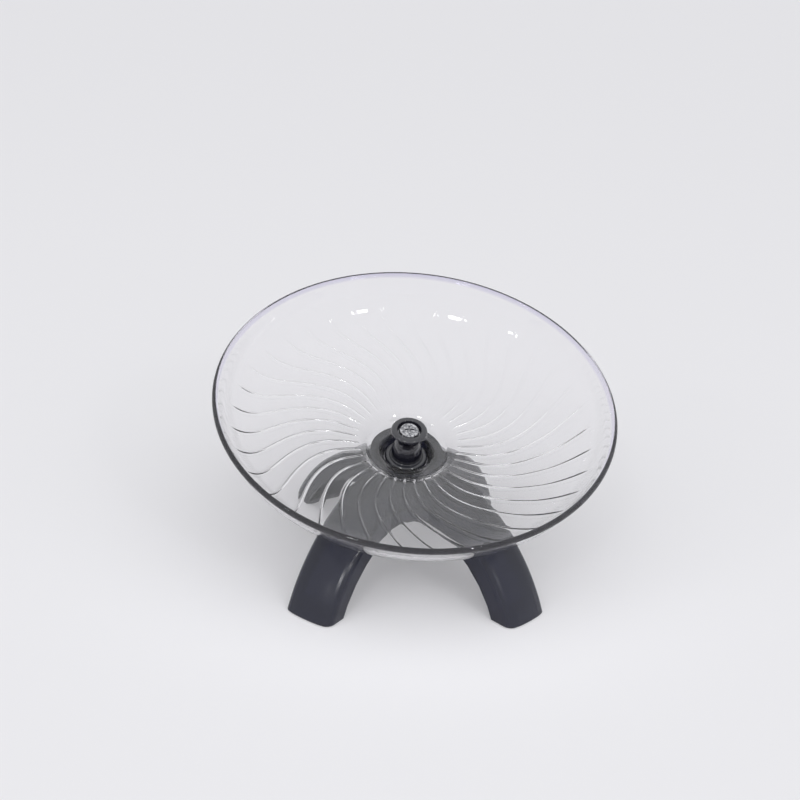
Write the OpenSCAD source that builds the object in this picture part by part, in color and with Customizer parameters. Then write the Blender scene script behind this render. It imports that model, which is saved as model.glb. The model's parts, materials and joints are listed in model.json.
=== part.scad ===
// Small pet's saucer wheel: a clear tilted running dish that spins on a ball bearing
// in the head of a smoky four-legged stand. The low side of the dish faces -Y.

/* [Dish] */
// Outer diameter over the rim bead
dish_d = 180; // [150:1:210]
// Height of the rim plane's centre above the floor
rim_height = 82; // [79:1:95]
// Tilt of the spin axis from the vertical, towards -Y
tilt = 22; // [16:1:24]
// Thickness of the moulded dish
dish_wall = 2; // [1.5:0.1:3]
// Diameter of the round rim bead
bead_d = 3.4; // [2.6:0.1:4.4]
// Depth of the running floor below the rim plane, where the ribs begin
floor_depth = 31; // [27:0.5:34]
// Rise of the running floor towards the wall, in degrees
floor_rise = 9.5; // [6:0.5:13]
// Slope of the outer wall, in degrees
wall_slope = 68; // [60:1:76]
// Radius of the curve from the running floor into the wall
corner_r = 28; // [18:1:34]

/* [Ribs] */
// Number of swirling grip ribs
rib_count = 36; // [24:2:44]
// Width of a rib
rib_w = 1.0; // [0.7:0.1:1.4]
// Turn of the first rib from the right-hand side
rib_turn = 2.5; // [0:0.5:9.5]
// Height of a rib above the running floor
rib_h = 0.6; // [0.4:0.1:1]
// Radius at which the ribs begin
rib_start_r = 23; // [22:0.5:26]
// Radius up to which a rib runs straight out
rib_bend_r = 30; // [27:1:36]
// Radius at which the ribs end on the wall
rib_end_r = 83; // [76:0.5:83]
// Angle that a rib swings through on its way out
rib_sweep = 24; // [12:1:32]

/* [Hub well] */
// Radius of the well's flat ledge
well_r = 17.6; // [16:0.2:18]
// Depth of the ledge below the rim plane
ledge_depth = 36; // [35:0.5:37.5]
// Radius of the well's mouth
well_mouth_r = 21.3; // [20.6:0.1:21.8]
// Radius of the rounding where the well's mouth meets the running floor
well_lip_r = 5; // [3:0.5:6]
// Radius of the cup in the ledge that the knob stands in
cup_r = 11; // [10.6:0.1:11.6]
// Depth of the cup's floor below the rim plane
well_depth = 42.5; // [41.5:0.5:43.5]

/* [Knob] */
// Height of the knob above the cup's floor
knob_h = 19.7; // [19:0.1:21]
// Radius of the knob's base ring
knob_base_r = 10; // [9.4:0.1:10.4]
// Radius of the knob's bell-shaped belly
knob_belly_r = 7.2; // [6.6:0.1:7.6]
// Radius of the knob's neck
knob_neck_r = 5.1; // [4.8:0.1:5.5]
// Radius of the knob's head
knob_head_r = 8.4; // [8:0.1:9.2]
// Radius of the screw recess in the knob's head
knob_recess_r = 5.6; // [5.5:0.1:6]
// Depth of the screw recess
knob_recess_depth = 3.4; // [2.8:0.1:4]

/* [Bearing] */
// Bore of the ball bearing
bearing_bore = 8; // [7:0.5:8]
// Outside diameter of the ball bearing
bearing_od = 22; // [21:0.5:23]
// Width of the ball bearing
bearing_w = 7; // [6:0.5:7]
// Number of balls
ball_count = 7; // [6:1:7]
// Diameter of a ball
ball_d = 3.968; // [3.5:0.001:4]
// Diameter of the circle through the balls' centres
ball_pitch_d = 15; // [14.6:0.1:15.2]

/* [Axle screw and nut] */
// Diameter of the axle screw
screw_d = 4; // [4:0.5:5]
// Radius of the screw's pan head
screw_head_r = 4.7; // [4.2:0.1:4.9]
// Height of the screw's pan head
screw_head_h = 2.4; // [2:0.1:2.8]
// Radius of the washer under the screw's head
washer_r = 5.2; // [5:0.1:5.4]
// Thickness of each plain washer
washer_t = 0.8; // [0.5:0.1:1]
// Nut size across its flats
nut_af = 7; // [7:0.1:8]
// Height of the locking nut
nut_h = 5; // [4:0.1:5]
// Length of screw that stands out of the nut
screw_end = 1; // [0.5:0.1:2]

/* [Stand] */
// Radius of the head under the dish's well
head_r = 17.2; // [16:0.2:18]
// Height of the head below the recess that the well's cup turns in
head_h = 8.5; // [8.2:0.1:9]
// Reach of a leg's outer face at the floor, from the middle of the stand
leg_reach = 75; // [68:0.5:80]
// Radius of a leg's outer curve
leg_curve_r = 78; // [74:1:86]
// Lean of a leg's outer face from the vertical at the floor
leg_lean = 21.5; // [18:0.5:24]
// Angle of each front leg away from straight forward
front_spread = 40; // [37:1:46]
// Angle of each rear leg away from straight back
rear_spread = 35; // [32:1:44]
// Width of a leg across its outer face
leg_w = 24; // [20:0.5:25]
// Depth of a leg at the floor, from its outer face to its open side
leg_depth = 10; // [9.5:0.5:12]
// Height of the rim plane's centre over the top of the arches
arch_h = 50; // [49:0.5:52]
// Radius of the arches' curve between their top and a foot
arch_r = 55; // [52:1:58]
// Thickness of the stand's moulding
stand_wall = 2.4; // [2:0.1:3]
// Radius of a leg's long rounded edges
leg_edge_r = 3.6; // [3:0.1:4.5]
// Radius of the corners between the other legs
side_web_r = 5; // [3:0.5:9]
// Radius of the curved web between the front legs
web_r = 14; // [11:0.5:15]
// Thickness of a foot's closed sole
sole_t = 3; // [2.5:0.1:4]

/* [Foot pads] */
// Diameter of an anti-slip pad
pad_d = 7; // [6:0.1:7.4]
// Thickness of a pad
pad_t = 1.5; // [1.2:0.1:2]
// Height by which a pad stands out of the sole
pad_proud = 0.5; // [0.4:0.1:0.8]

/* [Fits] */
// Gap between the spinning dish and the stand
spin_gap = 1; // [0.8:0.1:1.2]
// Radial clearance of parts that slide together
slide_fit = 0.05; // [0.02:0.01:0.1]
// Clearance between the balls and their tracks
ball_fit = 0.03; // [0.02:0.01:0.05]

/* [Hidden] */
$fn = 72;

clear = [0.86, 0.87, 0.9, 0.35];
smoke = [0.25, 0.26, 0.3];
steel = [0.78, 0.79, 0.8];
nylon = [0.9, 0.88, 0.8];
silicone = [0.35, 0.36, 0.38];

// Places along the spin axis, as heights over the rim plane
well_floor_z = -well_depth;
dish_under_z = well_floor_z - dish_wall;
ledge_z = -ledge_depth;
head_recess_z = dish_under_z - spin_gap;
head_top_z = ledge_z - dish_wall - spin_gap;
head_bottom_z = head_recess_z - head_h;
bearing_sink = 0.4;
bearing_top_z = head_recess_z - bearing_sink;
bearing_bottom_z = bearing_top_z - bearing_w;
bearing_mid_z = bearing_top_z - bearing_w / 2;
nut_top_z = bearing_bottom_z - washer_t;
nut_bottom_z = nut_top_z - nut_h;
knob_top_z = well_floor_z + knob_h;
recess_floor_z = knob_top_z - knob_recess_depth;
screw_seat_z = recess_floor_z + washer_t;
screw_tip_z = nut_bottom_z - screw_end;

// Radii of the bearing's parts
bore_r = bearing_bore / 2;
race_r = bearing_od / 2;
ball_r = ball_d / 2;
pitch_r = ball_pitch_d / 2;
inner_land_r = pitch_r - 0.7 * ball_r;
outer_land_r = pitch_r + 0.7 * ball_r;
shield_t = 0.3;
shield_r = outer_land_r + 0.5;
shield_inset = 0.3;
shank_r = bore_r - slide_fit;
hub_hole_r = bore_r + slide_fit;
nut_r = nut_af / 2 / cos(30);

// Outline of the dish's inner face: each point is [radius, height, rounding]
dish_r = dish_d / 2;
bead_r = bead_d / 2;
bead_c = [dish_r - bead_r, -bead_r];
wall_top = [bead_c.x - 0.35 * bead_r, bead_c.y];
floor_start = [rib_start_r, -floor_depth];
corner_x = (wall_top.y - floor_start.y + floor_start.x * tan(floor_rise) - wall_top.x * tan(wall_slope))
           / (tan(floor_rise) - tan(wall_slope));
corner_y = floor_start.y + (corner_x - floor_start.x) * tan(floor_rise);
mouth = [well_mouth_r, floor_start.y - (rib_start_r - well_mouth_r) * tan(floor_rise)];
well_round = 1.6;
cup_round = 1;
cup_mouth_r = cup_r + 0.6;
inner_line = [[hub_hole_r, well_floor_z, 0], [cup_r, well_floor_z, cup_round],
              [cup_mouth_r, ledge_z, cup_round], [well_r, ledge_z, well_round],
              [mouth.x, mouth.y, well_lip_r], [corner_x, corner_y, corner_r], [wall_top.x, wall_top.y, 0]];

function xy(p) = [p.x, p.y];
function unit(v) = v / norm(v);
function left_of(v) = [-v.y, v.x];
// Moves an outline sideways by t, to its left, and keeps its roundings parallel
function shifted(line, t) = [for (i = [0:len(line) - 1])
    let (a = unit(xy(line[min(i + 1, len(line) - 1)]) - xy(line[min(i, len(line) - 2)])),
         b = unit(xy(line[max(i, 1)]) - xy(line[max(i - 1, 0)])),
         na = left_of(a), nb = left_of(b), turn = b.x * a.y - b.y * a.x,
         p = xy(line[i]) + t * (na + nb) / (1 + na * nb))
    [p.x, p.y, line[i].z == 0 ? 0 : max(line[i].z - sign(turn) * t, 0.2)]];
// Replaces an outline's corner by an arc of its rounding radius
function corner(a, p, b, r, steps) =
    let (u = unit(a - p), v = unit(b - p), half = acos(u * v) / 2,
         c = p + unit(u + v) * r / sin(half),
         s = p + u * r / tan(half), e = p + v * r / tan(half),
         a0 = atan2(s.y - c.y, s.x - c.x), swing = atan2(e.y - c.y, e.x - c.x) - a0,
         turn = swing > 180 ? swing - 360 : swing < -180 ? swing + 360 : swing)
    [for (i = [0:steps]) c + r * [cos(a0 + turn * i / steps), sin(a0 + turn * i / steps)]];
function rounded(line) = [for (i = [0:len(line) - 1])
    each line[i].z == 0 ? [xy(line[i])]
        : corner(xy(line[i - 1]), xy(line[i]), xy(line[i + 1]), line[i].z, line[i].z > 10 ? 8 : 3)];
function reversed(list) = [for (i = [len(list) - 1:-1:0]) list[i]];
function smooth(t) = let (u = min(max(t, 0), 1)) u * u * (3 - 2 * u);
function polar(r, a) = [r * cos(a), r * sin(a)];
function arc(c, r, a0, a1, steps) = [for (i = [0:steps]) c + polar(r, a0 + (a1 - a0) * i / steps)];

// Puts its children in the frame of the spin axis, at a height over the rim plane
module on_axis(z = 0) {
    translate([0, 0, rim_height]) rotate([tilt, 0, 0]) translate([0, 0, z]) children();
}

// A ring about the spin axis
module ring(outer_r, inner_r, h) {
    difference() {
        cylinder(r = outer_r, h = h);
        translate([0, 0, -1]) cylinder(r = inner_r, h = h + 2);
    }
}

// Dish: bowl, rim bead and ribs in one moulding
module dish_bowl() {
    rotate_extrude() {
        polygon(concat(rounded(inner_line), reversed(rounded(shifted(inner_line, -dish_wall)))));
        translate(bead_c) circle(r = bead_r, $fn = 24);
    }
}

rib_steps = 10;
function rib_angle(r) = rib_sweep * smooth((r - rib_bend_r) / (rib_end_r - rib_bend_r));
function rib_side(side) = [for (i = [0:rib_steps])
    let (r = rib_start_r + (rib_end_r - rib_start_r) * i / rib_steps,
         a = rib_angle(r), run = polar(r + 0.5, rib_angle(r + 0.5)) - polar(r - 0.5, rib_angle(r - 0.5)))
    polar(r, a) + side * rib_w / 2 * left_of(unit(run))];

// The thin layer on the running floor that the ribs are cut from
module rib_layer() {
    span = [[floor_start.x - 1, floor_start.y - tan(floor_rise), 0],
            [corner_x, corner_y, corner_r], [wall_top.x, wall_top.y, 0]];
    rotate_extrude()
        polygon(concat(rounded(shifted(span, rib_h)), reversed(rounded(shifted(span, -dish_wall / 4)))));
}

module dish_ribs() {
    intersection() {
        rib_layer();
        for (k = [0:rib_count - 1])
            rotate(rib_turn + 360 * k / rib_count) translate([0, 0, -2 * floor_depth])
                linear_extrude(3 * floor_depth) polygon(concat(rib_side(-1), reversed(rib_side(1))));
    }
}

module dish() {
    color(clear) on_axis() {
        dish_bowl();
        dish_ribs();
    }
}

// Knob: base ring, bell, neck and cupped head, with a shank that fills the bearing's bore
knob_ring_r = 1.6;
knob_belly_curve = 13;
knob_belly_z = 4.5;
knob_neck_curve = 2.3;
knob_neck_z = 12.9;
knob_lip = 1.3;
module knob_outline() {
    ring_c = [knob_base_r - knob_ring_r, knob_ring_r];
    belly_c = [knob_belly_r - knob_belly_curve, knob_belly_z];
    neck_c = [knob_neck_r + knob_neck_curve, knob_neck_z];
    lip_c = [knob_head_r - knob_lip, knob_h - knob_lip];
    polygon(concat([[0, 0], [ring_c.x, 0]], arc(ring_c, knob_ring_r, -70, 120, 7),
        arc(belly_c, knob_belly_curve, -6, 32, 5), arc(neck_c, knob_neck_curve, 207, 133, 4),
        arc(lip_c, knob_lip, -50, 90, 5), [[0, knob_h]]));
}

module knob() {
    shank_h = well_floor_z - bearing_bottom_z - 0.5;
    color(smoke) on_axis(well_floor_z) difference() {
        union() {
            rotate_extrude() knob_outline();
            translate([0, 0, -shank_h]) cylinder(r = shank_r, h = shank_h + 1);
        }
        translate([0, 0, recess_floor_z - well_floor_z])
            cylinder(r = knob_recess_r, h = knob_recess_depth + 1);
        translate([0, 0, -shank_h - 1])
            cylinder(r = screw_d / 2 + slide_fit, h = shank_h + knob_h);
    }
}

// Cross-head pan screw that clamps knob, dish, spacer and inner race together
module axle_screw() {
    slot_w = 0.9;
    slot_l = 4.4;
    slot_depth = 1.3;
    color(steel) on_axis() difference() {
        union() {
            translate([0, 0, screw_tip_z]) cylinder(r = screw_d / 2, h = screw_seat_z - screw_tip_z + 1);
            translate([0, 0, screw_seat_z]) rotate_extrude()
                polygon(concat([[0, 0], [screw_head_r, 0]],
                    arc([screw_head_r - screw_head_h / 2, screw_head_h / 2], screw_head_h / 2, 0, 90, 4),
                    [[0, screw_head_h]]));
        }
        for (a = [0, 90]) rotate(a)
            translate([-slot_l / 2, -slot_w / 2, screw_seat_z + screw_head_h - slot_depth])
                cube([slot_l, slot_w, slot_depth + 1]);
    }
}

module screw_washer() {
    color(steel) on_axis(recess_floor_z) ring(washer_r, screw_d / 2 + slide_fit, washer_t);
}

// Spacer that holds the dish off the head and carries it on the inner race
module hub_spacer() {
    color(steel) on_axis(bearing_top_z)
        ring(inner_land_r - 0.3, hub_hole_r, dish_under_z - bearing_top_z);
}

module race_groove() {
    translate([pitch_r, 0]) circle(r = ball_r + ball_fit, $fn = 48);
}

module bearing_inner_race() {
    color(steel) on_axis(bearing_mid_z) rotate_extrude() difference() {
        translate([bore_r, -bearing_w / 2]) square([inner_land_r - bore_r, bearing_w]);
        race_groove();
    }
}

module bearing_outer_race() {
    seat_h = shield_t + shield_inset;
    color(steel) on_axis(bearing_mid_z) rotate_extrude() difference() {
        translate([outer_land_r, -bearing_w / 2]) square([race_r - outer_land_r, bearing_w]);
        race_groove();
        for (z = [bearing_w / 2 - seat_h, -bearing_w / 2 - 1])
            translate([outer_land_r - 1, z]) square([shield_r - outer_land_r + 1, seat_h + 1]);
    }
}

module bearing_balls() {
    color(steel) on_axis(bearing_mid_z) for (k = [0:ball_count - 1])
        rotate(360 * k / ball_count) translate([pitch_r, 0, 0]) sphere(r = ball_r, $fn = 32);
}

module bearing_cage() {
    cage_t = 1.5;
    cage_h = ball_d + 0.8;
    color(nylon) on_axis(bearing_mid_z) difference() {
        translate([0, 0, -cage_h / 2]) ring(pitch_r + cage_t / 2, pitch_r - cage_t / 2, cage_h);
        for (k = [0:ball_count - 1]) rotate(360 * k / ball_count)
            rotate([0, 90, 0]) cylinder(r = ball_r + 2 * ball_fit, h = race_r);
    }
}

module shield() {
    ring(shield_r - slide_fit, inner_land_r + 0.3, shield_t);
}

module bearing_upper_shield() {
    color(steel) on_axis(bearing_top_z - shield_inset - shield_t) shield();
}

module bearing_lower_shield() {
    color(steel) on_axis(bearing_bottom_z + shield_inset) shield();
}

module lower_washer() {
    color(steel) on_axis(nut_top_z) ring(inner_land_r - 0.3, screw_d / 2 + slide_fit, washer_t);
}

module lock_nut() {
    color(steel) on_axis(nut_bottom_z) difference() {
        cylinder(r = nut_r, h = nut_h, $fn = 6);
        translate([0, 0, -1]) cylinder(r = screw_d / 2 + slide_fit, h = nut_h + 2);
    }
}

// Stand: four arched channel legs that meet in a round head
leg_c = [leg_reach - leg_curve_r * cos(leg_lean), -leg_curve_r * sin(leg_lean)];
front_legs = [-front_spread, front_spread];
rear_legs = [rear_spread - 180, 180 - rear_spread];

// Plan of the four legs with rounded corners between them, drawn in by a wall
leg_angles = concat(front_legs, reversed(rear_legs));
leg_side = leg_w / 2;
function corner_between(k, in) =
    let (a = leg_angles[k], gap = (leg_angles[(k + 1) % 4] - a + 360) % 360, r = k == 0 ? web_r : side_web_r)
    concat(polar((leg_side - in) / sin(gap / 2), a - 90 + gap / 2), [r + in]);
function leg_end(k, side, in) =
    let (a = leg_angles[k] - 90)
    concat(polar(leg_reach + leg_side, a) + side * (leg_side - in) * left_of(polar(1, a)), [0]);
function plan_line(in) = [for (k = [0:3]) each [leg_end(k, -1, in), leg_end(k, 1, in), corner_between(k, in)]];
function rounded_loop(line) = let (n = len(line)) [for (i = [0:n - 1])
    each line[i].z == 0 ? [xy(line[i])]
        : corner(xy(line[(i + n - 1) % n]), xy(line[i]), xy(line[(i + 1) % n]), line[i].z, 4)];

// A leg's arched strip with rounded long edges, from below the floor to beside the webs
leg_crown_r = 40;
leg_crown_rise = 0.3;
leg_start = 14;
leg_stop = 67;
leg_back = 27;
module leg_strip() {
    tip = leg_curve_r + leg_crown_rise;
    phi = asin((leg_side - leg_edge_r) / (leg_crown_r - leg_edge_r));
    mid = [tip - leg_crown_r, 0];
    edge = arc(mid + polar(leg_crown_r - leg_edge_r, phi), leg_edge_r, phi, 90, 4);
    crown = arc(mid, leg_crown_r, -phi, phi, 6);
    back = leg_curve_r - leg_back;
    translate([leg_c.x, 0, leg_c.y]) rotate([90, 0, 0]) rotate(leg_start)
        rotate_extrude(angle = leg_stop - leg_start, $fn = 96)
            polygon(concat([[back, -leg_side]], reversed([for (p = edge) [p.x, -p.y]]),
                [for (i = [1:len(crown) - 2]) crown[i]], edge, [[back, leg_side]]));
}

// The legs as one solid arched body, drawn in by a wall
module rounded_legs() {
    intersection() {
        legs_body(0);
        union() {
            each_leg() leg_strip();
            cylinder(r = leg_c.x + leg_curve_r * cos(leg_stop) + leg_edge_r, h = leg_curve_r);
        }
    }
}

module legs_body(in) {
    intersection() {
        rotate_extrude($fn = 96) intersection() {
            translate(leg_c) circle(r = leg_curve_r - in, $fn = 128);
            square([leg_reach + leg_side, leg_curve_r]);
        }
        linear_extrude(leg_curve_r) polygon(rounded_loop(plan_line(in)));
    }
}

module each_leg() {
    for (a = concat(front_legs, rear_legs)) rotate(a - 90) children();
}

// Space that the turning dish sweeps, grown by a gap
module dish_space(gap) {
    skin = dish_wall + gap;
    cup = cup_mouth_r + skin;
    well = well_mouth_r + skin;
    floor_z = mouth.y - skin / cos(floor_rise);
    rotate_extrude() polygon([[0, dish_under_z - gap], [cup, dish_under_z - gap], [cup, ledge_z - skin],
        [well, ledge_z - skin], [well, floor_z], [dish_r, floor_z + (dish_r - well_mouth_r) * tan(floor_rise)],
        [dish_r, rim_height], [0, rim_height]]);
}

// The open space under the arches, as a dome that the legs' inner edges follow
module under_arches() {
    top = rim_height - arch_h;
    c = [leg_reach - leg_depth - sqrt(arch_r * arch_r - pow(top - arch_r, 2)), top - arch_r];
    below_floor = asin(-c.y / arch_r) - 3;
    dome = arc(c, arch_r, below_floor, 90, 7);
    rotate_extrude() polygon(concat([[0, dome[0].y]], dome, [[0, top]]));
}

// Everything below a height, such as the floor or the top of the closed soles
module under(z) {
    translate([-dish_d, -dish_d, z - dish_d]) cube([2 * dish_d, 2 * dish_d, dish_d]);
}

module stand() {
    color(smoke) difference() {
        union() {
            difference() {
                rounded_legs();
                difference() {
                    legs_body(stand_wall);
                    on_axis() dish_space(spin_gap + stand_wall);
                    under(pad_proud + sole_t);
                }
                under_arches();
            }
            on_axis(head_bottom_z) cylinder(r = head_r, h = head_top_z - head_bottom_z);
        }
        on_axis() dish_space(spin_gap);
        on_axis(bearing_bottom_z) cylinder(r = race_r + slide_fit, h = bearing_w + head_h);
        on_axis(screw_tip_z - spin_gap)
            cylinder(r = outer_land_r, h = bearing_bottom_z - screw_tip_z + 2 * spin_gap);
        under(pad_proud);
        each_leg() translate([pad_place, 0, 0]) cylinder(r = pad_d / 2 + slide_fit, h = pad_t);
    }
}

// Anti-slip pads, each in a round seat in its foot's sole
pad_place = leg_reach - leg_depth / 2;
module foot_pad(a) {
    color(silicone) rotate(a - 90)
        translate([pad_place, 0, 0]) cylinder(r = pad_d / 2, h = pad_t - slide_fit);
}

module foot_pad_front_left() { foot_pad(front_legs[0]); }
module foot_pad_front_right() { foot_pad(front_legs[1]); }
module foot_pad_rear_left() { foot_pad(rear_legs[0]); }
module foot_pad_rear_right() { foot_pad(rear_legs[1]); }

dish();
knob();
axle_screw();
screw_washer();
hub_spacer();
bearing_inner_race();
bearing_balls();
bearing_cage();
bearing_outer_race();
bearing_upper_shield();
bearing_lower_shield();
lower_washer();
lock_nut();
stand();
foot_pad_front_left();
foot_pad_front_right();
foot_pad_rear_left();
foot_pad_rear_right();
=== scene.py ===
"""Looks of a clear tilted hamster saucer on its smoky four-legged stand."""

import json
import math

import bpy
from mathutils import Matrix, Vector


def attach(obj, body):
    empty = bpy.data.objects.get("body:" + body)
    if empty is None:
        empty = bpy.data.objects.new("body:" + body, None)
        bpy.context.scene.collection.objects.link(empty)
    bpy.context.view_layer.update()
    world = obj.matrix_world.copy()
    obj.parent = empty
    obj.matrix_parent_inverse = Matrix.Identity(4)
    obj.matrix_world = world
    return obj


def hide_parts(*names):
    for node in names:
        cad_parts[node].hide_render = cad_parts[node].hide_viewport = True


MM = 0.001

# Sizes of the clear dish in millimetres, under the names that part.scad gives them. Depths are
# below the rim's plane.
DISH_R = 90.0
DISH_WALL = 2.0
BEAD_R = 1.7
FLOOR_DEPTH = 31.0
FLOOR_RISE = math.radians(9.5)
WALL_SLOPE = math.radians(68)
CORNER_R = 28.0
RIB_COUNT = 36
RIB_START_R = 23.0
RIB_BEND_R = 30.0
RIB_END_R = 83.0
RIB_SWEEP = math.radians(24)
RIB_TURN = math.radians(2.5)
WELL_R = 17.6
LEDGE_DEPTH = 36.0
WELL_MOUTH_R = 21.3
CUP_R = 11.0
CUP_MOUTH_R = 11.6
WELL_DEPTH = 42.5
HUB_HOLE_R = 4.05

# Ribs, roundings and rim of the clear dish. Most are softer than the solid's, because a clear wall
# shows every edge as a line of light. The wall's inner face ends at a share of the bead's radius
# inside the bead's middle, and the rim's rounding runs from there over the top through RIM_ARC.
# The rim's tint fades in below the bead's middle, over RIM_TINT_FADE.
RIB_W = 1.25
RIB_H = 0.36
RIB_LEAD = 1.5
RIB_FADE = 5.0
WELL_ROUND = 2.2
WELL_LIP_R = 12.0
CUP_ROUND = 1.0
CUP_LIP_R = 3.2
LEAST_ROUND = 0.2
WALL_TOP_SHARE = 0.35
RIM_RISE = 1.53
RIM_ARC = math.radians(234)
RIM_TINT_FADE = 1.0

# How finely the dish is divided
ROW_STEP = 1.6
ROUND_STEPS_PER_MM = 0.9
LEAST_ROUND_STEPS = 4
RIM_STEPS = 16
RIB_COLUMNS = 11
GAP_COLUMNS = 5
GAP_INSET = 0.12

# Sizes of the knob in millimetres, with heights over the sole of its base ring
KNOB_BORE_R = 2.05
KNOB_SHANK_R = 3.95
KNOB_SHANK_DEPTH = 9.9
KNOB_SOLE_R = 8.2
KNOB_RECESS_R = 5.6
KNOB_RECESS_FLOOR = 16.3
KNOB_COLUMNS = 128

# Arcs of the knob's outline: radius and height of the arc's middle, its own radius, its first and
# last angle in degrees, and its steps
KNOB_BASE_RING = (8.4, 1.6, 1.6, -80, 135, 20)
KNOB_BELLY = (-5.8, 4.5, 13.0, -4, 32, 16)
KNOB_NECK = (7.35, 12.9, 2.3, 207, 133, 10)
KNOB_HEAD_EDGE = (7.1, 18.4, 1.3, -55, 82, 14)
KNOB_RECESS_LIP = (5.95, 19.3, 0.35, 80, 175, 5)

PLASTIC_IOR = 1.5

# The camera, fitted to the photograph: its place in millimetres, its angles in degrees, and its
# focal length and the place of its axis in pixels of the picture
CAMERA_PLACE = (-63.73, -467.04, 261.15)
CAMERA_AZIMUTH, CAMERA_ELEVATION, CAMERA_ROLL = -2.58, 21.41, 1.88
PICTURE_WIDTH = 800
FOCAL_PIXELS = 1126.94
AXIS_PIXEL_X = 318.49
SENSOR = 36.0

# The floor and the lamps, in metres
FLOOR_REACH = 14.0
LAMP_DISTANCE = 1.8
LAMP_AIM = Vector((0, 0, 0.05))

# The share of glow in the floor and the strength of the sky, for rays that are seen. On the object
# the sky's light falls from SKY_HIGH in front and above, at SKY_ELEVATION, to SKY_LOW where the
# cosine of the angle away from there is SKY_EDGE.
FLOOR_GLOW = 0.27
SEEN_SKY = 0.82
SKY_LOW, SKY_HIGH = 0.08, 2.15
SKY_ELEVATION = math.radians(45)
SKY_EDGE = 0.25

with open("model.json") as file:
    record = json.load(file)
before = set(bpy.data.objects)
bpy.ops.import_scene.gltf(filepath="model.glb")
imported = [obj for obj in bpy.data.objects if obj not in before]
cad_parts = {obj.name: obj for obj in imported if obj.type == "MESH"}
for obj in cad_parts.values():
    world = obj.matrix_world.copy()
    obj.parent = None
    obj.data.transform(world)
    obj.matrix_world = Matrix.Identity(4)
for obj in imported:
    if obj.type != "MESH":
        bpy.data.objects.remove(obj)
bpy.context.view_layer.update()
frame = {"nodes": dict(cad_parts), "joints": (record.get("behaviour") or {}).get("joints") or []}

# The dish's axis, from the frame's joint: it passes through the rim's middle and leans forward
spin = next(joint for joint in frame["joints"] if joint["name"] == "dish_spin")
RIM_MIDDLE = Vector(spin["pos_m"])
TILT = math.atan2(-spin["axis"][1], spin["axis"][2])
SPIN_FRAME = Matrix.Translation(RIM_MIDDLE) @ Matrix.Rotation(TILT, 4, "X")


# Outlines
def unit(v):
    """The vector v at length 1."""
    length = math.hypot(*v)
    return (v[0] / length, v[1] / length)


def corner_arc(a, p, b, radius, steps):
    """Points of the arc that rounds the corner p between a and b."""
    u = unit((a[0] - p[0], a[1] - p[1]))
    v = unit((b[0] - p[0], b[1] - p[1]))
    half = math.acos(u[0] * v[0] + u[1] * v[1]) / 2
    w = unit((u[0] + v[0], u[1] + v[1]))
    c = (p[0] + w[0] * radius / math.sin(half), p[1] + w[1] * radius / math.sin(half))
    reach = radius / math.tan(half)
    s = (p[0] + u[0] * reach - c[0], p[1] + u[1] * reach - c[1])
    e = (p[0] + v[0] * reach - c[0], p[1] + v[1] * reach - c[1])
    start = math.atan2(s[1], s[0])
    turn = (math.atan2(e[1], e[0]) - start + math.pi) % (2 * math.pi) - math.pi
    angles = [start + turn * i / steps for i in range(steps + 1)]
    return [(c[0] + radius * math.cos(t), c[1] + radius * math.sin(t)) for t in angles]


def rounded(line):
    """An outline of (x, y, rounding radius) corners with its roundings put in."""
    out = []
    for i, (x, y, radius) in enumerate(line):
        if radius:
            steps = max(LEAST_ROUND_STEPS, round(radius * ROUND_STEPS_PER_MM))
            out += corner_arc(line[i - 1][:2], (x, y), line[i + 1][:2], radius, steps)
        else:
            out.append((x, y))
    return out


def shifted(line, t):
    """The same outline moved sideways by t, to its left, with its roundings kept parallel."""
    out, last = [], len(line) - 1
    for i, (x, y, radius) in enumerate(line):
        p, q = line[max(i - 1, 0)], line[min(i + 1, last)]
        into = unit((x - p[0], y - p[1])) if i else unit((q[0] - x, q[1] - y))
        away = unit((q[0] - x, q[1] - y)) if i < last else into
        turn = into[0] * away[1] - into[1] * away[0]
        share = 1 + away[0] * into[0] + away[1] * into[1]
        move = (-(away[1] + into[1]) * t / share, (away[0] + into[0]) * t / share)
        r = max(radius - math.copysign(1, turn) * t, LEAST_ROUND) if radius else 0
        out.append((x + move[0], y + move[1], r))
    return out


def filled(line, step):
    """The same outline with points no further apart than step."""
    out = [line[0]]
    for a, b in zip(line, line[1:]):
        n = max(1, math.ceil(math.dist(a, b) / step))
        for k in range(1, n + 1):
            out.append((a[0] + (b[0] - a[0]) * k / n, a[1] + (b[1] - a[1]) * k / n))
    return out


def normals(line):
    """Unit normals to the left of an outline's points."""
    out = []
    for i in range(len(line)):
        a, b = line[max(i - 1, 0)], line[min(i + 1, len(line) - 1)]
        d = unit((b[0] - a[0], b[1] - a[1]))
        out.append((-d[1], d[0]))
    return out


def arc(x, y, radius, start, end, steps):
    """Points of an arc round (x, y) between two angles in degrees."""
    angles = [math.radians(start + (end - start) * i / steps) for i in range(steps + 1)]
    return [(x + radius * math.cos(t), y + radius * math.sin(t)) for t in angles]


# Meshes
def mesh_piece(name, verts, rows, columns, material, replaced):
    """A smooth, closed piece of the saucer from rows of points round its axis, in millimetres."""
    faces = []
    for i in range(rows):
        for j in range(columns):
            this, other = i * columns, (i + 1) % rows * columns
            k = (j + 1) % columns
            faces.append((this + j, this + k, other + k, other + j))
    mesh = bpy.data.meshes.new(name)
    mesh.from_pydata([SPIN_FRAME @ (Vector(v) * MM) for v in verts], [], faces)
    mesh.validate()
    mesh.polygons.foreach_set("use_smooth", [True] * len(mesh.polygons))
    mesh.update()
    obj = bpy.data.objects.new(name, mesh)
    bpy.context.scene.collection.objects.link(obj)
    mesh.materials.append(material)
    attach(obj, "saucer")
    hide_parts(replaced)


# Dish
def smooth_step(t):
    """0 below 0 and 1 above 1, with a smooth rise between."""
    t = min(max(t, 0.0), 1.0)
    return t * t * (3 - 2 * t)


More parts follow.
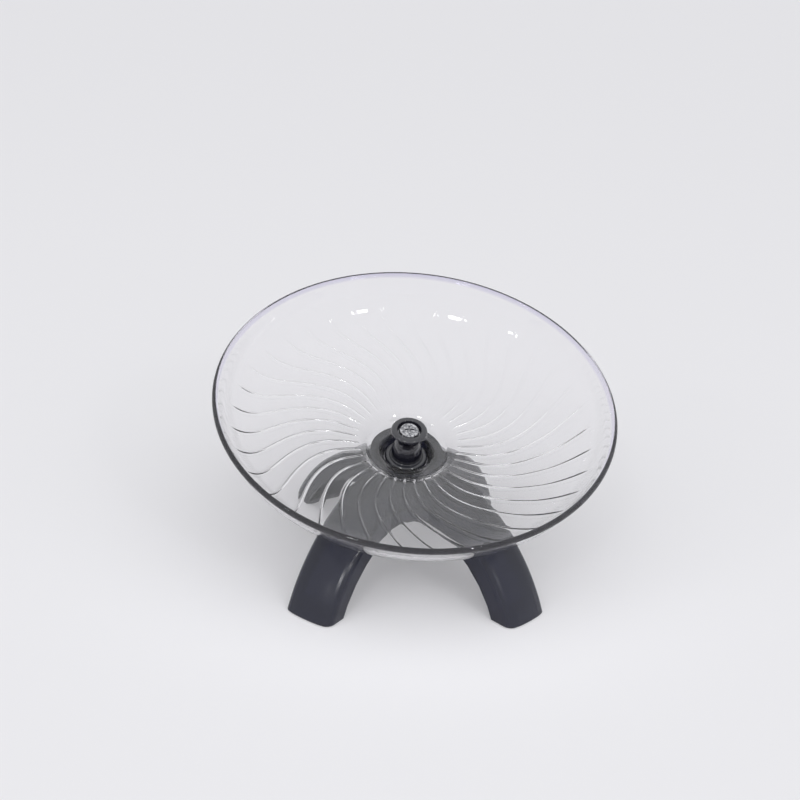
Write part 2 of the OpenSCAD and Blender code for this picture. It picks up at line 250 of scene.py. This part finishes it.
def rib_angle(r):
    """The angle of the first rib's middle line at a radius."""
    return RIB_TURN + RIB_SWEEP * smooth_step((r - RIB_BEND_R) / (RIB_END_R - RIB_BEND_R))


def dish_corners(cup_lip_r):
    """Corners of the dish's inner face, from the hub's hole to the rim."""
    top_x, top_y = DISH_R - BEAD_R - WALL_TOP_SHARE * BEAD_R, -BEAD_R
    rise, slope = math.tan(FLOOR_RISE), math.tan(WALL_SLOPE)
    corner_x = (top_y + FLOOR_DEPTH + RIB_START_R * rise - top_x * slope) / (rise - slope)
    corner_y = -FLOOR_DEPTH + (corner_x - RIB_START_R) * rise
    mouth_y = -FLOOR_DEPTH - (RIB_START_R - WELL_MOUTH_R) * rise
    return [(HUB_HOLE_R, -WELL_DEPTH, 0), (CUP_R, -WELL_DEPTH, CUP_ROUND),
            (CUP_MOUTH_R, -LEDGE_DEPTH, cup_lip_r), (WELL_R, -LEDGE_DEPTH, WELL_ROUND),
            (WELL_MOUTH_R, mouth_y, WELL_LIP_R), (corner_x, corner_y, CORNER_R), (top_x, top_y, 0)]


def dish_rows():
    """Rows from the hub up the outside, over the rim and down the inside.

    Each is a radius, a height, the direction in which a rib rises there and how far it rises.
    """
    outer = filled(rounded(shifted(dish_corners(CUP_ROUND), -DISH_WALL)), ROW_STEP)
    inner = filled(rounded(dish_corners(CUP_LIP_R)), ROW_STEP)
    for r, z in outer[:-1]:
        yield r, z, (0, 0), 0
    half = (DISH_R - inner[-1][0]) / 2
    for i in range(RIM_STEPS, 0, -1):
        t = math.pi - RIM_ARC * i / RIM_STEPS
        yield DISH_R - half + half * math.cos(t), RIM_RISE * math.sin(t) - BEAD_R, (0, 0), 0
    for (r, z), normal in reversed(list(zip(inner, normals(inner)))):
        share = smooth_step((r - RIB_START_R) / RIB_LEAD) * smooth_step((RIB_END_R - r) / RIB_FADE)
        yield r, z, normal, RIB_H * share


def dish_columns(r):
    """Each column's angle at a radius, and the share of a rib's height that it has there."""
    pitch = 2 * math.pi / RIB_COUNT
    turn_per_mm = rib_angle(r + 0.5) - rib_angle(r - 0.5)
    half = min(RIB_W / 2 * math.hypot(1, r * turn_per_mm) / r, pitch / 4)
    for k in range(RIB_COUNT):
        middle = rib_angle(r) + k * pitch
        for i in range(RIB_COLUMNS):
            s = 2 * i / (RIB_COLUMNS - 1) - 1
            yield middle + s * half, 0.5 + 0.5 * math.cos(math.pi * s)
        for i in range(GAP_COLUMNS):
            s = GAP_INSET + (1 - 2 * GAP_INSET) * i / (GAP_COLUMNS - 1)
            yield middle + half + s * (pitch - 2 * half), 0


def dish_piece(material):
    """Clear dish: one closed wall with its swirling ribs, rim, well and hub hole."""
    verts, rows = [], list(dish_rows())
    for r, z, normal, lift in rows:
        for angle, share in dish_columns(r):
            out = r + normal[0] * lift * share
            up = z + normal[1] * lift * share
            verts.append((out * math.cos(angle), out * math.sin(angle), up))
    columns = RIB_COUNT * (RIB_COLUMNS + GAP_COLUMNS)
    mesh_piece("clear_dish", verts, len(rows), columns, material, "dish")


# Knob
def knob_piece(material):
    """Turned knob: shank, base ring, bell-shaped belly, neck and cupped head."""
    line = [(KNOB_BORE_R, -KNOB_SHANK_DEPTH), (KNOB_SHANK_R, -KNOB_SHANK_DEPTH),
            (KNOB_SHANK_R, 0), (KNOB_SOLE_R, 0)]
    for bend in (KNOB_BASE_RING, KNOB_BELLY, KNOB_NECK, KNOB_HEAD_EDGE, KNOB_RECESS_LIP):
        line += arc(*bend)
    line += [(KNOB_RECESS_R, KNOB_RECESS_FLOOR), (KNOB_BORE_R, KNOB_RECESS_FLOOR)]
    turns = [2 * math.pi * j / KNOB_COLUMNS for j in range(KNOB_COLUMNS)]
    verts = [(r * math.cos(t), r * math.sin(t), z - WELL_DEPTH) for r, z in line for t in turns]
    mesh_piece("turned_knob", verts, len(line), KNOB_COLUMNS, material, "knob")


# Nodes of materials and the world
def feed(links, value, socket):
    """Links a socket to another one, or sets it to a number."""
    if isinstance(value, bpy.types.NodeSocket):
        links.new(value, socket)
    else:
        socket.default_value = value


def settle(node, values):
    """Sets a node's inputs by their names."""
    for name, value in values.items():
        node.inputs[name].default_value = value


def spread(nodes, links, share, low, high, start=0.0, end=1.0):
    """A value that goes from low to high as share goes from start to end."""
    node = nodes.new("ShaderNodeMapRange")
    settings = {"Value": share, "From Min": start, "From Max": end, "To Min": low, "To Max": high}
    for name, value in settings.items():
        feed(links, value, node.inputs[name])
    return node.outputs["Result"]


def ramp(nodes, links, share, low, high, start=0.0, end=1.0):
    """A colour that goes from low to high as share goes from start to end."""
    node = nodes.new("ShaderNodeValToRGB")
    for stop, position, colour in zip(node.color_ramp.elements, (start, end), (low, high)):
        stop.position = position
        stop.color = (*colour, 1)
    links.new(share, node.inputs["Fac"])
    return node.outputs["Color"]


def noise(nodes, links, scale, detail=3.0):
    """Noise in the object's own space; scale is in waves a metre."""
    place = nodes.new("ShaderNodeTexCoord")
    node = nodes.new("ShaderNodeTexNoise")
    settle(node, {"Scale": scale, "Detail": detail})
    links.new(place.outputs["Object"], node.inputs["Vector"])
    return node.outputs["Fac"]


def bump(nodes, links, height, shader, strength, distance):
    """Makes the shader's surface rise and fall with height, by distance in millimetres."""
    node = nodes.new("ShaderNodeBump")
    settle(node, {"Strength": strength, "Distance": distance * MM})
    links.new(height, node.inputs["Height"])
    links.new(node.outputs["Normal"], shader.inputs["Normal"])


def seen(nodes, links):
    """1 for rays that the camera sees, straight or by a mirror or glass, and 0 for the rest."""
    rays = nodes.new("ShaderNodeLightPath")
    last = rays.outputs["Is Camera Ray"]
    for kind in ("Is Glossy Ray", "Is Transmission Ray"):
        pick = nodes.new("ShaderNodeMath")
        pick.operation = "MAXIMUM"
        links.new(last, pick.inputs[0])
        links.new(rays.outputs[kind], pick.inputs[1])
        last = pick.outputs[0]
    return last


# Materials
def new_material(name):
    """A material of that name, with its nodes, its links and its shader."""
    material = bpy.data.materials.new(name)
    material.use_nodes = True
    nodes, links = material.node_tree.nodes, material.node_tree.links
    return material, nodes, links, nodes["Principled BSDF"]


def rim_share(nodes, links):
    """0 on the dish's wall and 1 on its rim, by the height along the dish's axis."""
    place = nodes.new("ShaderNodeTexCoord")
    turned = nodes.new("ShaderNodeMapping")
    turned.vector_type = "TEXTURE"
    settle(turned, {"Location": RIM_MIDDLE, "Rotation": (TILT, 0, 0)})
    parts = nodes.new("ShaderNodeSeparateXYZ")
    links.new(place.outputs["Object"], turned.inputs["Vector"])
    links.new(turned.outputs["Vector"], parts.inputs["Vector"])
    wall_top, rim_foot = -(BEAD_R + RIM_TINT_FADE) * MM, -BEAD_R * MM
    return spread(nodes, links, parts.outputs["Z"], 0.0, 1.0, start=wall_top, end=rim_foot)


def clear_plastic():
    """The dish's clear plastic, a little purple at the rim and in its depth."""
    material, nodes, links, shader = new_material("clear_plastic")
    settle(shader, {"Transmission Weight": 0.985, "IOR": PLASTIC_IOR})
    tint = ramp(nodes, links, rim_share(nodes, links), (1.0, 0.995, 1.0), (0.765, 0.735, 0.885))
    links.new(tint, shader.inputs["Base Color"])
    flow = noise(nodes, links, scale=60)
    links.new(spread(nodes, links, flow, low=0.0, high=0.05), shader.inputs["Roughness"])
    bump(nodes, links, flow, shader, strength=0.05, distance=0.4)
    depth = nodes.new("ShaderNodeVolumeAbsorption")
    settle(depth, {"Color": (0.40, 0.36, 0.52, 1), "Density": 12})
    links.new(depth.outputs["Volume"], nodes["Material Output"].inputs["Volume"])
    return material


def plastic(name, colours, flow_scale, fine_scale, roughness, strength, distance):
    """A moulded plastic: slow waves in its colour and surface, and a fine grain in its gloss."""
    material, nodes, links, shader = new_material(name)
    flow = noise(nodes, links, flow_scale)
    fine = noise(nodes, links, fine_scale, detail=4.0)
    links.new(ramp(nodes, links, flow, *colours), shader.inputs["Base Color"])
    links.new(spread(nodes, links, fine, *roughness), shader.inputs["Roughness"])
    bump(nodes, links, flow, shader, strength, distance)
    settle(shader, {"IOR": PLASTIC_IOR})
    return material, shader


def smoky_plastic():
    """The stand's dark smoky plastic, which lets some light through."""
    material, shader = plastic("smoky_plastic", ((0.022, 0.024, 0.046), (0.034, 0.036, 0.066)),
                               flow_scale=45, fine_scale=900, roughness=(0.17, 0.25),
                               strength=0.06, distance=0.6)
    settle(shader, {"Transmission Weight": 0.6})
    return material


def knob_plastic():
    """The knob's darker plastic with its polished skin."""
    material, shader = plastic("knob_plastic", ((0.008, 0.008, 0.013), (0.015, 0.015, 0.022)),
                               flow_scale=160, fine_scale=1400, roughness=(0.03, 0.1),
                               strength=0.05, distance=0.3)
    settle(shader, {"Coat Weight": 0.8, "Coat IOR": 1.7, "Coat Roughness": 0.03})
    return material


def grained(name, colours, roughness, scale, start=0.0, end=1.0, strength=0.2, distance=0.1,
            metallic=0.0):
    """A material with one fine grain in its colour, its gloss and its surface."""
    material, nodes, links, shader = new_material(name)
    settle(shader, {"Metallic": metallic})
    grain = noise(nodes, links, scale, detail=4.0)
    links.new(ramp(nodes, links, grain, *colours, start, end), shader.inputs["Base Color"])
    links.new(spread(nodes, links, grain, *roughness), shader.inputs["Roughness"])
    bump(nodes, links, grain, shader, strength, distance)
    return material


def steel(name, colours, roughness, scale=1500):
    """Bare or plated steel, whose grain is finer and has more contrast."""
    return grained(name, colours, roughness, scale, start=0.35, end=0.65, strength=0.15,
                   distance=0.05, metallic=1.0)


def paint(material, *names):
    """Gives CAD nodes that show a material."""
    for name in names:
        slots = frame["nodes"][name].data.materials
        slots.clear()
        slots.append(material)


# Stage
def floor():
    """A flat pale floor that fills the camera's view."""
    mesh = bpy.data.meshes.new("floor")
    far = FLOOR_REACH
    mesh.from_pydata([(-far, -far, 0), (far, -far, 0), (far, far, 0), (-far, far, 0)], [],
                     [(0, 1, 2, 3)])
    obj = bpy.data.objects.new("floor", mesh)
    bpy.context.scene.collection.objects.link(obj)
    material, nodes, links, shader = new_material("floor_paint")
    settle(shader, {"Base Color": (0.835, 0.828, 0.85, 1), "Roughness": 0.7,
                    "Specular IOR Level": 0.0})
    glow = nodes.new("ShaderNodeEmission")
    settle(glow, {"Color": (0.797, 0.79, 0.812, 1)})
    mix = nodes.new("ShaderNodeMixShader")
    links.new(spread(nodes, links, seen(nodes, links), 0.0, FLOOR_GLOW), mix.inputs["Fac"])
    links.new(shader.outputs["BSDF"], mix.inputs[1])
    links.new(glow.outputs["Emission"], mix.inputs[2])
    links.new(mix.outputs["Shader"], nodes["Material Output"].inputs["Surface"])
    mesh.materials.append(material)


def sky():
    """A pale world that looks even and lights the object mostly from the front and above."""
    world = bpy.data.worlds.new("studio")
    bpy.context.scene.world = world
    world.use_nodes = True
    nodes, links = world.node_tree.nodes, world.node_tree.links
    way = nodes.new("ShaderNodeTexCoord")
    facing = nodes.new("ShaderNodeVectorMath")
    facing.operation = "DOT_PRODUCT"
    facing.inputs[1].default_value = (0, -math.cos(SKY_ELEVATION), math.sin(SKY_ELEVATION))
    links.new(way.outputs["Generated"], facing.inputs[0])
    light = spread(nodes, links, facing.outputs["Value"], SKY_LOW, SKY_HIGH, start=SKY_EDGE)
    shader = nodes["Background"]
    settle(shader, {"Color": (0.98, 0.99, 1.0, 1)})
    links.new(spread(nodes, links, seen(nodes, links), light, SEEN_SKY), shader.inputs["Strength"])


def lamp(name, azimuth, elevation, size, power):
    """A square lamp that faces the object, with its angles in degrees and its side in metres."""
    a, e = math.radians(azimuth), math.radians(elevation)
    away = Vector((math.sin(a) * math.cos(e), -math.cos(a) * math.cos(e), math.sin(e)))
    light = bpy.data.lights.new(name, "AREA")
    light.size = size
    light.energy = power
    obj = bpy.data.objects.new(name, light)
    obj.location = LAMP_AIM + away * LAMP_DISTANCE
    obj.rotation_euler = (-away).to_track_quat("-Z", "Y").to_euler()
    bpy.context.scene.collection.objects.link(obj)


def camera():
    """The photograph's camera. Its axis passes left of the picture's middle, hence the shift."""
    a, e, roll = (math.radians(v) for v in (CAMERA_AZIMUTH, CAMERA_ELEVATION, CAMERA_ROLL))
    back = Vector((math.sin(a) * math.cos(e), -math.cos(a) * math.cos(e), math.sin(e)))
    level = Vector((math.cos(a), math.sin(a), 0))
    up = back.cross(level)
    right = math.cos(roll) * level + math.sin(roll) * up
    top = -math.sin(roll) * level + math.cos(roll) * up
    turn = Matrix((right, top, back)).transposed().to_4x4()
    data = bpy.data.cameras.new("photo_camera")
    data.sensor_width = SENSOR
    data.lens = SENSOR * FOCAL_PIXELS / PICTURE_WIDTH
    data.shift_x = (PICTURE_WIDTH / 2 - AXIS_PIXEL_X) / PICTURE_WIDTH
    data.clip_start, data.clip_end = 0.01, 50
    obj = bpy.data.objects.new("photo_camera", data)
    obj.matrix_world = Matrix.Translation(Vector(CAMERA_PLACE) * MM) @ turn
    bpy.context.scene.collection.objects.link(obj)
    bpy.context.scene.camera = obj


# Scene
bpy.context.scene.view_settings.view_transform = "Standard"

dish_piece(clear_plastic())
knob_piece(knob_plastic())
paint(smoky_plastic(), "stand")
paint(steel("screw_steel", ((0.16, 0.16, 0.18), (0.72, 0.72, 0.74)),
            roughness=(0.18, 0.36), scale=900),
      "axle_screw", "screw_washer", "hub_spacer", "lower_washer", "lock_nut")
paint(steel("bearing_steel", ((0.5, 0.5, 0.52), (0.66, 0.66, 0.68)), roughness=(0.12, 0.25)),
      "bearing_inner_race", "bearing_outer_race", "bearing_balls")
paint(steel("shield_steel", ((0.56, 0.56, 0.57), (0.72, 0.72, 0.73)), roughness=(0.25, 0.4)),
      "bearing_upper_shield", "bearing_lower_shield")
paint(grained("cage_nylon", ((0.74, 0.71, 0.6), (0.84, 0.81, 0.7)),
              roughness=(0.42, 0.58), scale=700),
      "bearing_cage")
paint(grained("pad_rubber", ((0.025, 0.025, 0.027), (0.045, 0.045, 0.048)),
              roughness=(0.67, 0.83), scale=1200),
      "foot_pad_front_left", "foot_pad_front_right", "foot_pad_rear_left", "foot_pad_rear_right")

floor()
sky()
lamp("front_right", azimuth=28, elevation=31, size=0.18, power=1.8)
lamp("front_left", azimuth=-23, elevation=36, size=0.18, power=1.8)
lamp("left", azimuth=-57, elevation=27, size=0.12, power=0.8)
camera()
